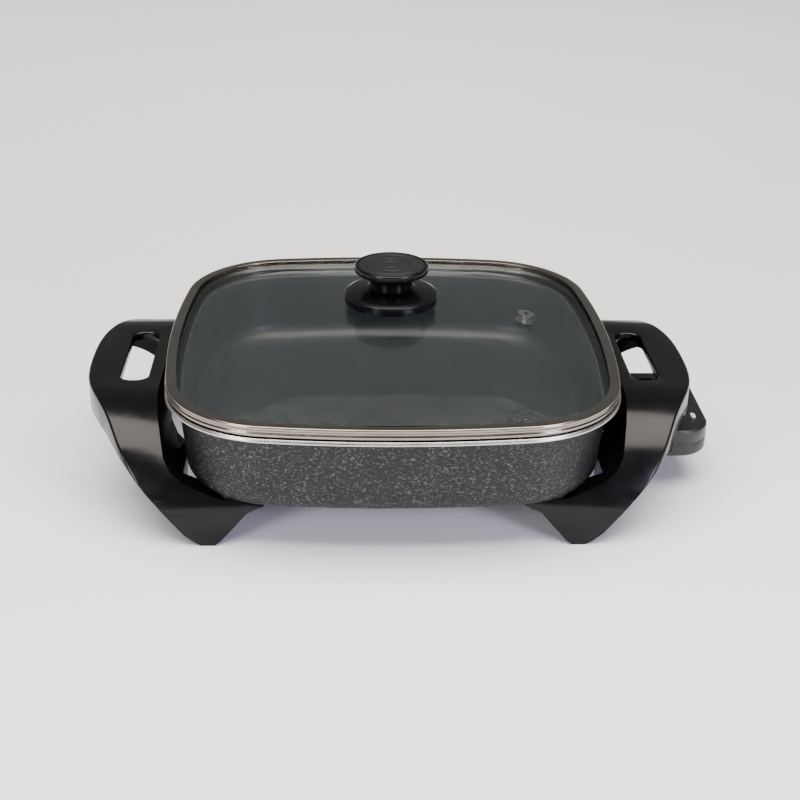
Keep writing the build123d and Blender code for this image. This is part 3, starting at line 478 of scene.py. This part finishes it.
def finishes(tones):
    """Every finish by its short name, made once."""
    if "hammered_charcoal_enamel" not in bpy.data.materials:
        made = {
            "enamel": hammered_enamel(tones),
            "coat": nonstick_coat(tones),
            "glass": clear_glass(tones),
            # Machined aluminium lip: turned lines along the rim
            "lip": moulded(
                "machined_aluminium",
                tones.aluminium,
                (0.2, 0.34),
                0.5,
                0.01,
                20,
                0.06,
                (30, 30, 0.4),
                Metallic=1.0,
            ),
            # Polished stainless steel: fine polishing lines along the band, faint brown clouds
            "band": moulded(
                "polished_stainless_steel",
                tones.stainless,
                (0.1, 0.2),
                0.6,
                0.004,
                35,
                0.07,
                (40, 40, 0.4),
                Metallic=1.0,
            ),
            # Compression-moulded phenolic: deep black, glossy, slightly wavy skin
            "phenolic": moulded(
                "glossy_phenolic",
                tones.phenolic,
                (0.16, 0.26),
                1.6,
                0.012,
                18,
                0.3,
                **{"IOR": 1.56, "Specular IOR Level": 0.2},
            ),
            # Injection-moulded plastic with a spark-eroded texture
            "case": moulded("textured_plastic", tones.case, (0.34, 0.46), 0.6, 0.04, 12, 0.2, IOR=1.5),
            # Metals, ceramic, rubber, resin, lamp and ink of the hardware
            "plated": moulded(
                "zinc_plated_steel", linear("#a8a9a4"), (0.22, 0.36), 0.8, 0.01, 4, 0.12, Metallic=1.0
            ),
            "steel": moulded("spring_steel", linear("#9b9a97"), (0.25, 0.4), 0.7, 0.01, 5, 0.1, Metallic=1.0),
            "sheath": moulded(
                "oxidised_sheath", linear("#6d675f"), (0.4, 0.6), 1.2, 0.02, 9, 0.2, Metallic=1.0
            ),
            "brass": moulded(
                "rolled_brass", linear("#b8975a"), (0.25, 0.4), 0.8, 0.01, 5, 0.12, Metallic=1.0
            ),
            "ceramic": moulded(
                "steatite_ceramic", linear("#d9d3c5"), (0.45, 0.6), 0.6, 0.03, 4, 0.06, IOR=1.6
            ),
            "silicone": moulded(
                "cured_silicone", linear("#1b1b1c"), (0.5, 0.65), 1.0, 0.03, 6, 0.15, IOR=1.42
            ),
            "block": moulded(
                "glass_filled_polyester", linear("#3a3733"), (0.4, 0.55), 0.9, 0.03, 5, 0.2, IOR=1.54
            ),
            "lens": moulded(
                "frosted_polycarbonate",
                linear("#e8e4dc"),
                (0.2, 0.3),
                0.8,
                0.01,
                3,
                0.05,
                **{"IOR": 1.58, "Subsurface Weight": 0.2},
            ),
            "lamp": moulded("neon_lamp_glass", linear("#d98a5b"), (0.1, 0.2), 1.0, 0.01, 3, 0.1, IOR=1.5),
            "print": moulded("pad_printed_ink", linear("#d8d8d4"), (0.4, 0.5), 0.4, 0.01, 2, 0.05, IOR=1.5),
        }
        for short, material in made.items():
            material["short"] = short
    return {material["short"]: material for material in bpy.data.materials if "short" in material}


def dress(piece, *materials):
    """Gives a piece its finishes, in the order of its zones, which clearing its slots would reset."""
    slots = piece.data.materials
    for place, material in enumerate(materials):
        if place < len(slots):
            slots[place] = material
        else:
            slots.append(material)
    return piece


def finish_piece(piece, body, slot, nodes, *materials):
    """Dresses a new piece, makes it ride a body and stand for CAD nodes; its slot argument is not used."""
    dress(piece, *materials)
    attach(piece, body)
    if nodes:
        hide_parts(*nodes)
    return piece


# ---- Pieces


class OBJECT_OT_griddle_pan(bpy.types.Operator):
    """Cast pan: hammered outside, bare lip, non-stick inside, and the ridge under it"""

    bl_idname = "object.griddle_pan"
    bl_label = "Pan"
    draft = radians(5)
    lip_inset = 2.5 * MM
    lip_edge = 0.7 * MM
    cove = 6.5 * MM
    seat_corner = 1.5 * MM
    flat_reach = 2.5
    lip_strips = 6
    ridge_gap = 0.2 * MM
    pad_gap = 0.5 * MM
    pad_rise = 1 * MM

    def execute(self, context):
        sizes, made = context.scene.griddle_sizes, finishes(context.scene.griddle_colours)
        rim = PAN_HIGH.z
        seat = rim - sizes.lip_height
        slope = tan(self.draft)
        base_inset = sizes.neck_inset + slope * (seat - sizes.base_height)
        top_inset = sizes.neck_inset + sizes.wall
        floor_inset = top_inset + slope * (seat - sizes.floor_height)
        flat = self.flat_reach * sizes.floor_radius
        edge = self.lip_edge
        outside = rounded(
            [
                (base_inset + flat, sizes.base_height, 0),
                (base_inset, sizes.base_height, sizes.bottom_radius),
                (sizes.neck_inset, seat, self.cove),
                (-sizes.lip_overhang, seat, edge),
                (-sizes.lip_overhang, rim - edge, 0),
            ],
            steps=10,
        )
        lip = rounded(
            [
                (-sizes.lip_overhang, rim - edge, 0),
                (-sizes.lip_overhang, rim, edge),
                (self.lip_inset, rim, edge),
                (self.lip_inset, seat + edge, 0),
            ]
        )
        inside = rounded(
            [
                (self.lip_inset, seat + edge, 0),
                (self.lip_inset, seat, edge / 2),
                (top_inset, seat, self.seat_corner),
                (floor_inset, sizes.floor_height, sizes.floor_radius),
                (floor_inset + flat, sizes.floor_height, 0),
            ],
            steps=12,
        )
        shares = np.linspace(0.1, 0.9, 9)
        under = [(base_inset + flat, sizes.base_height, s) for s in shares]
        over = [(floor_inset + flat, sizes.floor_height, s) for s in shares[::-1]]
        shell = np.concatenate([with_share(outside), with_share(lip)[1:], with_share(inside)[1:]])
        profile = np.concatenate([under, shell, over])
        # Strips of faces: enamel, then bare metal from the lip's lower bend to its inside, then coat
        lip_start = len(under) + len(outside)
        zones = np.ones(len(profile) - 1, int)
        zones[: lip_start - self.lip_strips] = 0
        zones[lip_start + len(lip) - 2 :] = 2
        pan = surface("pan_shell", swept(sizes, profile), (True, True), zones=zones)
        finish_piece(pan, "base", "cast_pan", ["pan_body"], made["enamel"], made["lip"], made["coat"])

        def under_the_shell(middles, lowest):
            """Faces below the base, or outside the wall low down, where the terminal pad is."""
            inset = inset_of(sizes, middles[:, 0] - CENTRE.x, middles[:, 1] - CENTRE.y)
            height = middles[:, 2]
            drop = np.clip(sizes.base_height + sizes.bottom_radius - height, 0, sizes.bottom_radius)
            round_in = sizes.bottom_radius - np.sqrt(sizes.bottom_radius**2 - drop**2)
            wall = sizes.neck_inset + slope * (seat - height) + round_in
            low = height < sizes.base_height + sizes.bottom_radius + self.pad_rise
            below = lowest < sizes.base_height - self.ridge_gap
            return below | (low & (inset < wall - self.pad_gap))

        ridge = merged_copy("pan_body", "pan_ridge", under_the_shell)
        ridge.data.shade_flat()
        finish_piece(ridge, "base", "cast_pan", [], made["enamel"])
        return {"FINISHED"}


class OBJECT_OT_griddle_band(bpy.types.Operator):
    """Lid band: a rolled steel channel round the glass with a spigot below"""

    bl_idname = "object.griddle_band"
    bl_label = "Lid band"
    spigot_inset = 4.5 * MM
    groove = 0.8 * MM
    channel_height = 7.2 * MM
    fold = 0.35 * MM

    def execute(self, context):
        sizes, made = context.scene.griddle_sizes, finishes(context.scene.griddle_colours)
        low, high, foot = BAND_HIGH.z - self.channel_height, BAND_HIGH.z, BAND_LOW.z
        sheet, flange, small = sizes.band_sheet, sizes.band_flange, self.fold
        profile = rounded(
            [
                (0, low, sizes.band_roll / 2),
                (0, low + sizes.band_roll, sizes.band_roll / 2),
                (self.groove, low + self.groove + sizes.band_roll, sizes.band_roll / 3),
                (self.groove, high - self.groove - sizes.band_roll, sizes.band_roll / 3),
                (0, high - sizes.band_roll, sizes.band_roll / 2),
                (0, high, sizes.band_roll / 2),
                (flange, high, small),
                (flange, high - sheet, small),
                (sheet, high - sheet, small),
                (sheet, low + sheet, small),
                (flange, low + sheet, small),
                (flange, foot, small),
                (self.spigot_inset, foot, small),
                (self.spigot_inset, low, small),
            ],
            closed=True,
        )
        band = surface("lid_band_rolled", swept(sizes, with_share(profile)), loop=True)
        finish_piece(band, "lid", "steel", ["lid_band"], made["band"])
        return {"FINISHED"}


class OBJECT_OT_griddle_glass(bpy.types.Operator):
    """Lid glass: a domed pane with a flat edge that the band holds"""

    bl_idname = "object.griddle_glass"
    bl_label = "Lid glass"
    dome_inset = 8 * MM
    edge_inset = 1.6 * MM
    edge_round = 1.2 * MM
    first_share = 0.08
    flat_share = 0.2
    dome_rows = 40

    def execute(self, context):
        sizes, made = context.scene.griddle_sizes, finishes(context.scene.griddle_colours)
        thick, rise = sizes.glass_thickness, sizes.dome_rise
        edge_top = GLASS_HIGH.z - rise * (1 - self.flat_share**2)
        shares = np.linspace(self.first_share, 1, self.dome_rows)
        climb = rise * (1 - np.maximum(shares, self.flat_share) ** 2)
        inset = np.full(len(shares), self.dome_inset)
        top = np.column_stack([inset, edge_top + climb, shares])
        under = np.column_stack([inset, edge_top - thick + climb, shares])[::-1]
        rim = rounded(
            [
                (self.dome_inset, edge_top, 0),
                (self.edge_inset, edge_top, self.edge_round),
                (self.edge_inset, edge_top - thick, self.edge_round),
                (self.dome_inset, edge_top - thick, 0),
            ]
        )
        profile = np.concatenate([top, with_share(rim)[1:-1], under])
        pane = surface("lid_glass_dome", swept(sizes, profile), (True, True))
        finish_piece(pane, "lid", "glass", ["lid_glass"], made["glass"])
        return {"FINISHED"}


class OBJECT_OT_griddle_knob(bpy.types.Operator):
    """Knob: notched skirt, neck with its disc, and the ringed cap"""

    bl_idname = "object.griddle_knob"
    bl_label = "Knob"
    rings = (20 * MM, 13 * MM, 7 * MM)
    ring_shift = 0.8 * MM
    ring_width = 0.75 * MM
    ring_depth = 0.5 * MM
    disc_height = 5 * MM
    neck_height = 11.2 * MM
    skirt_slope = 3.8 * MM
    skirt_height = 6.5 * MM
    skirt_bore = 14 * MM
    skirt_wall = 2 * MM
    skirt_columns = 240
    notch_count = 3
    notch_height = 1.5 * MM
    notch_half = 2.9 * MM
    notch_ramp = 0.6 * MM
    notch_zone = 1.6 * MM

    def execute(self, context):
        sizes, made = context.scene.griddle_sizes, finishes(context.scene.griddle_colours)
        top = DISC_HIGH.z
        disc = top - self.disc_height
        neck = disc - self.neck_height
        skirt_top = neck - self.skirt_slope
        base = skirt_top - self.skirt_height
        bore, wide, slim = self.skirt_bore, sizes.skirt_radius, sizes.neck_radius
        wall = self.skirt_wall
        skirt_profile = rounded(
            [
                (bore, neck, 0.2 * MM),
                (slim + 0.4 * MM, neck, 0.3 * MM),
                (slim + 3 * MM, neck - 1.2 * MM, 5 * MM),
                (wide - 3 * MM, skirt_top + 0.7 * MM, 2.4 * MM),
                (wide, skirt_top - 0.7 * MM, 0.8 * MM),
                (wide, base, 0.3 * MM),
                (wide - wall, base, 0.3 * MM),
                (wide - wall, skirt_top - wall, 1 * MM),
                (bore, neck - wall, 0.3 * MM),
            ],
            closed=True,
            steps=5,
        )
        grid = turned(skirt_profile, self.skirt_columns)
        # Notches, evenly round: the lower rim steps up over a short ramp at each of their ends
        step = np.arange(self.skirt_columns) * 2 * pi / self.skirt_columns
        pitch = 2 * pi / self.notch_count
        away = abs((step + pitch / 2) % pitch - pitch / 2) * wide
        notch = self.notch_height * np.clip((self.notch_half - away) / self.notch_ramp, 0, 1)
        near_rim = np.clip((base + self.notch_zone - grid[:, :, 2]) / self.notch_zone, 0, 1)
        grid[:, :, 2] += near_rim * notch
        skirt = surface("knob_skirt_turned", grid, loop=True)
        finish_piece(skirt, "lid", "phenolic", ["knob_skirt"], made["phenolic"])

        body_profile = rounded(
            [
                (13.2 * MM, base, 0),
                (13.8 * MM, base, 0.2 * MM),
                (13.8 * MM, neck - 0.5 * MM, 0.1 * MM),
                (slim, neck - 0.5 * MM, 0.2 * MM),
                (slim, disc - 4 * MM, 9 * MM),
                (slim + 4 * MM, disc, 3 * MM),
                (sizes.disc_radius, disc, 1.2 * MM),
                (sizes.disc_radius, top, 1.4 * MM),
                (23.0 * MM, top, 0.2 * MM),
                (23.0 * MM, top - 1.5 * MM, 0.2 * MM),
                (21.0 * MM, top - 1.5 * MM, 0),
            ],
            steps=7,
        )
        body = surface("knob_body_turned", turned(body_profile), (True, True))
        finish_piece(body, "lid", "phenolic", ["knob_body"], made["phenolic"])

        # Cap: its top is lowered in three smooth grooves, each inside its ring's radius
        radii = np.linspace(0.4 * MM, 22.4 * MM, 90)
        across = [(radii - ring + self.ring_shift) / self.ring_width for ring in self.rings]
        depth = sum(np.exp(-(off**2)) for off in across)
        crown = np.column_stack([radii, top - 0.05 * MM - self.ring_depth * depth])
        edge = [(22.9 * MM, top - 0.35 * MM), (22.9 * MM, top - 1.45 * MM), (18 * MM, top - 1.45 * MM)]
        cap = surface("knob_cap_turned", turned(np.concatenate([crown, edge])), (True, True))
        finish_piece(cap, "lid", "phenolic", ["knob_cap"], made["case"])
        return {"FINISHED"}


class OBJECT_OT_griddle_handles(bpy.types.Operator):
    """Handles: the two arched phenolic mouldings with rounded edges"""

    bl_idname = "object.griddle_handles"
    bl_label = "Handles"

    def execute(self, context):
        sizes, made = context.scene.griddle_sizes, finishes(context.scene.griddle_colours)
        for node in ("left_handle", "right_handle"):
            piece = soften(merged_copy(node, f"{node}_moulding"), sizes.moulding_edge)
            finish_piece(piece, "base", "phenolic", [node], made["phenolic"])
        return {"FINISHED"}


class OBJECT_OT_griddle_control(bpy.types.Operator):
    """Control: its two case halves with softened edges, and the printed marks round the dial"""

    bl_idname = "object.griddle_control"
    bl_label = "Control"
    mark_count = 11
    mark_radius = 24.5 * MM
    mark_size = (2.6 * MM, 0.7 * MM, 0.12 * MM)
    index_radius = 14.5 * MM
    index_size = (9 * MM, 1.3 * MM, 0.25 * MM)
    index_sink = 0.02 * MM
    case_edge = 0.5 * MM
    sweep = radians(270)

    def execute(self, context):
        made = finishes(context.scene.griddle_colours)
        for node in ("probe_upper_case", "probe_lower_case"):
            piece = soften(merged_copy(node, f"{node}_moulding"), self.case_edge, segments=2)
            finish_piece(piece, "control_probe", "case_plastic", [node], made["case"])
        middle = (DIAL_LOW + DIAL_HIGH) / 2
        angles = np.linspace(-self.sweep / 2, self.sweep / 2, self.mark_count) + pi
        out = np.stack([np.cos(angles), np.sin(angles)], -1)
        places = np.column_stack([out * self.mark_radius + middle.xy, np.full(self.mark_count, CASE_HIGH.z)])
        marks = boxes("dial_marks", places, out, self.mark_size)
        finish_piece(marks, "control_probe", "case_plastic", [], made["print"])
        index_place = (middle.x - self.index_radius, middle.y, DIAL_HIGH.z - self.index_sink)
        line = boxes("dial_index", [index_place], [(1.0, 0.0)], self.index_size)
        finish_piece(line, "dial", "case_plastic", [], made["print"])
        return {"FINISHED"}


class OBJECT_OT_griddle_hardware(bpy.types.Operator):
    """Finishes of the CAD nodes that stay: heater, terminals, screws, thermostat, lamp and dial"""

    bl_idname = "object.griddle_hardware"
    bl_label = "Hardware"
    by_finish = {
        "sheath": ["heating_element", "sensing_rod"],
        "plated": [
            "heater_terminals",
            "guard_screws",
            "handle_screws",
            "handle_washers",
            "knob_screw",
            "knob_washer",
            "case_screws",
            "terminal_screws",
        ],
        "steel": ["vent_grommet", "thermostat_bracket", "bimetal_strip", "dial_clip", "dial_shaft"],
        "brass": ["socket_contacts", "contact_spring", "fixed_contact", "earth_contact"],
        "ceramic": ["terminal_insulators"],
        "silicone": ["knob_gasket", "cord_gland"],
        "phenolic": ["terminal_guard", "dial_knob"],
        "block": ["contact_block", "thermostat_cam"],
        "lamp": ["indicator_lamp"],
        "lens": ["lamp_lens"],
    }

    def execute(self, context):
        made = finishes(context.scene.griddle_colours)
        for short, nodes in self.by_finish.items():
            for node in nodes:
                dress(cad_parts[node], made[short])
        return {"FINISHED"}


class OBJECT_OT_griddle_stage(bpy.types.Operator):
    """Stage: pale floor, soft studio light and the camera"""

    bl_idname = "object.griddle_stage"
    bl_label = "Stage"
    # Name, place, target, width, depth, power, tint
    lamps = (
        ("overhead", (0.0, -0.30, 1.45), (0.0, -0.30, 0.0), 1.9, 1.05, 62.0, "#fff8f0"),
        ("left_strip", (-0.95, -1.15, 0.5), (-0.12, -0.1, 0.05), 0.4, 0.5, 14.0, "#f6f2ff"),
        ("right_strip", (0.95, -1.15, 0.5), (0.12, -0.1, 0.05), 0.4, 0.5, 18.0, "#e4e2ff"),
        ("backdrop_fill", (0.0, 0.9, 1.9), (0.0, 4.5, 0.6), 3.0, 0.8, 90.0, "#ffffff"),
    )
    eye = (-0.04308, -0.94762, 0.50175)
    right = (0.99915, -0.03693, 0.01812)
    above = (-0.00030, 0.43392, 0.90095)
    lens_mm = 65.2
    sensor_mm = 36.0
    floor_reach = 6.0
    world_strength = 0.25

    def execute(self, context):
        scene, tones = context.scene, context.scene.griddle_colours
        reach = self.floor_reach
        corners = [(-reach, -reach, 0), (reach, -reach, 0), (reach, reach, 0), (-reach, reach, 0)]
        mesh = bpy.data.meshes.new("floor")
        mesh.from_pydata(corners, [], [(0, 1, 2, 3)])
        floor = bpy.data.objects.new("floor", mesh)
        scene.collection.objects.link(floor)
        dress(floor, moulded("white_paper_sweep", tones.floor, (0.8, 0.9), 2.0, 0.01, 400, 0.01))
        for name, place, target, wide, deep, power, tint in self.lamps:
            light = bpy.data.lights.new(name, "AREA")
            light.shape, light.size, light.size_y = "RECTANGLE", wide, deep
            light.energy, light.color = power, linear(tint)[:3]
            lamp = bpy.data.objects.new(name, light)
            lamp.location = place
            lamp.rotation_euler = (Vector(target) - Vector(place)).to_track_quat("-Z", "Y").to_euler()
            scene.collection.objects.link(lamp)
        world = bpy.data.worlds.new("studio")
        world.use_nodes = True
        world.node_tree.nodes["Background"].inputs["Color"].default_value = linear("#ffffff")
        world.node_tree.nodes["Background"].inputs["Strength"].default_value = self.world_strength
        scene.world = world
        camera = bpy.data.cameras.new("camera")
        camera.lens, camera.sensor_width = self.lens_mm, self.sensor_mm
        view = bpy.data.objects.new("camera", camera)
        across, up = Vector(self.right), Vector(self.above)
        turn = Matrix((across, up, across.cross(up))).transposed()
        view.matrix_world = Matrix.Translation(self.eye) @ turn.to_4x4()
        scene.collection.objects.link(view)
        scene.camera = view
        return {"FINISHED"}


class VIEW3D_PT_griddle(bpy.types.Panel):
    """Sizes, colours and the operators that build the griddle"""

    bl_idname = "VIEW3D_PT_griddle"
    bl_label = "Electric griddle"
    bl_space_type = "VIEW_3D"
    bl_region_type = "UI"
    bl_category = "Griddle"

    def draw(self, context):
        for group in (context.scene.griddle_sizes, context.scene.griddle_colours):
            for name in group.__annotations__:
                self.layout.prop(group, name)
        for operator in OPERATORS:
            self.layout.operator(operator.bl_idname)


OPERATORS = (
    OBJECT_OT_griddle_pan,
    OBJECT_OT_griddle_band,
    OBJECT_OT_griddle_glass,
    OBJECT_OT_griddle_knob,
    OBJECT_OT_griddle_handles,
    OBJECT_OT_griddle_control,
    OBJECT_OT_griddle_hardware,
    OBJECT_OT_griddle_stage,
)
CLASSES = (GriddleSizes, GriddleColours, *OPERATORS, VIEW3D_PT_griddle)


def register():
    """Registers the classes and hangs the property groups on the scene."""
    for kind in CLASSES:
        bpy.utils.register_class(kind)
    bpy.types.Scene.griddle_sizes = PointerProperty(type=GriddleSizes)
    bpy.types.Scene.griddle_colours = PointerProperty(type=GriddleColours)


def unregister():
    """Takes away what register added."""
    del bpy.types.Scene.griddle_colours
    del bpy.types.Scene.griddle_sizes
    for kind in reversed(CLASSES):
        bpy.utils.unregister_class(kind)


def main():
    register()
    for operator in OPERATORS:
        group, name = operator.bl_idname.split(".")
        getattr(getattr(bpy.ops, group), name)()


if __name__ == "__main__":
    main()
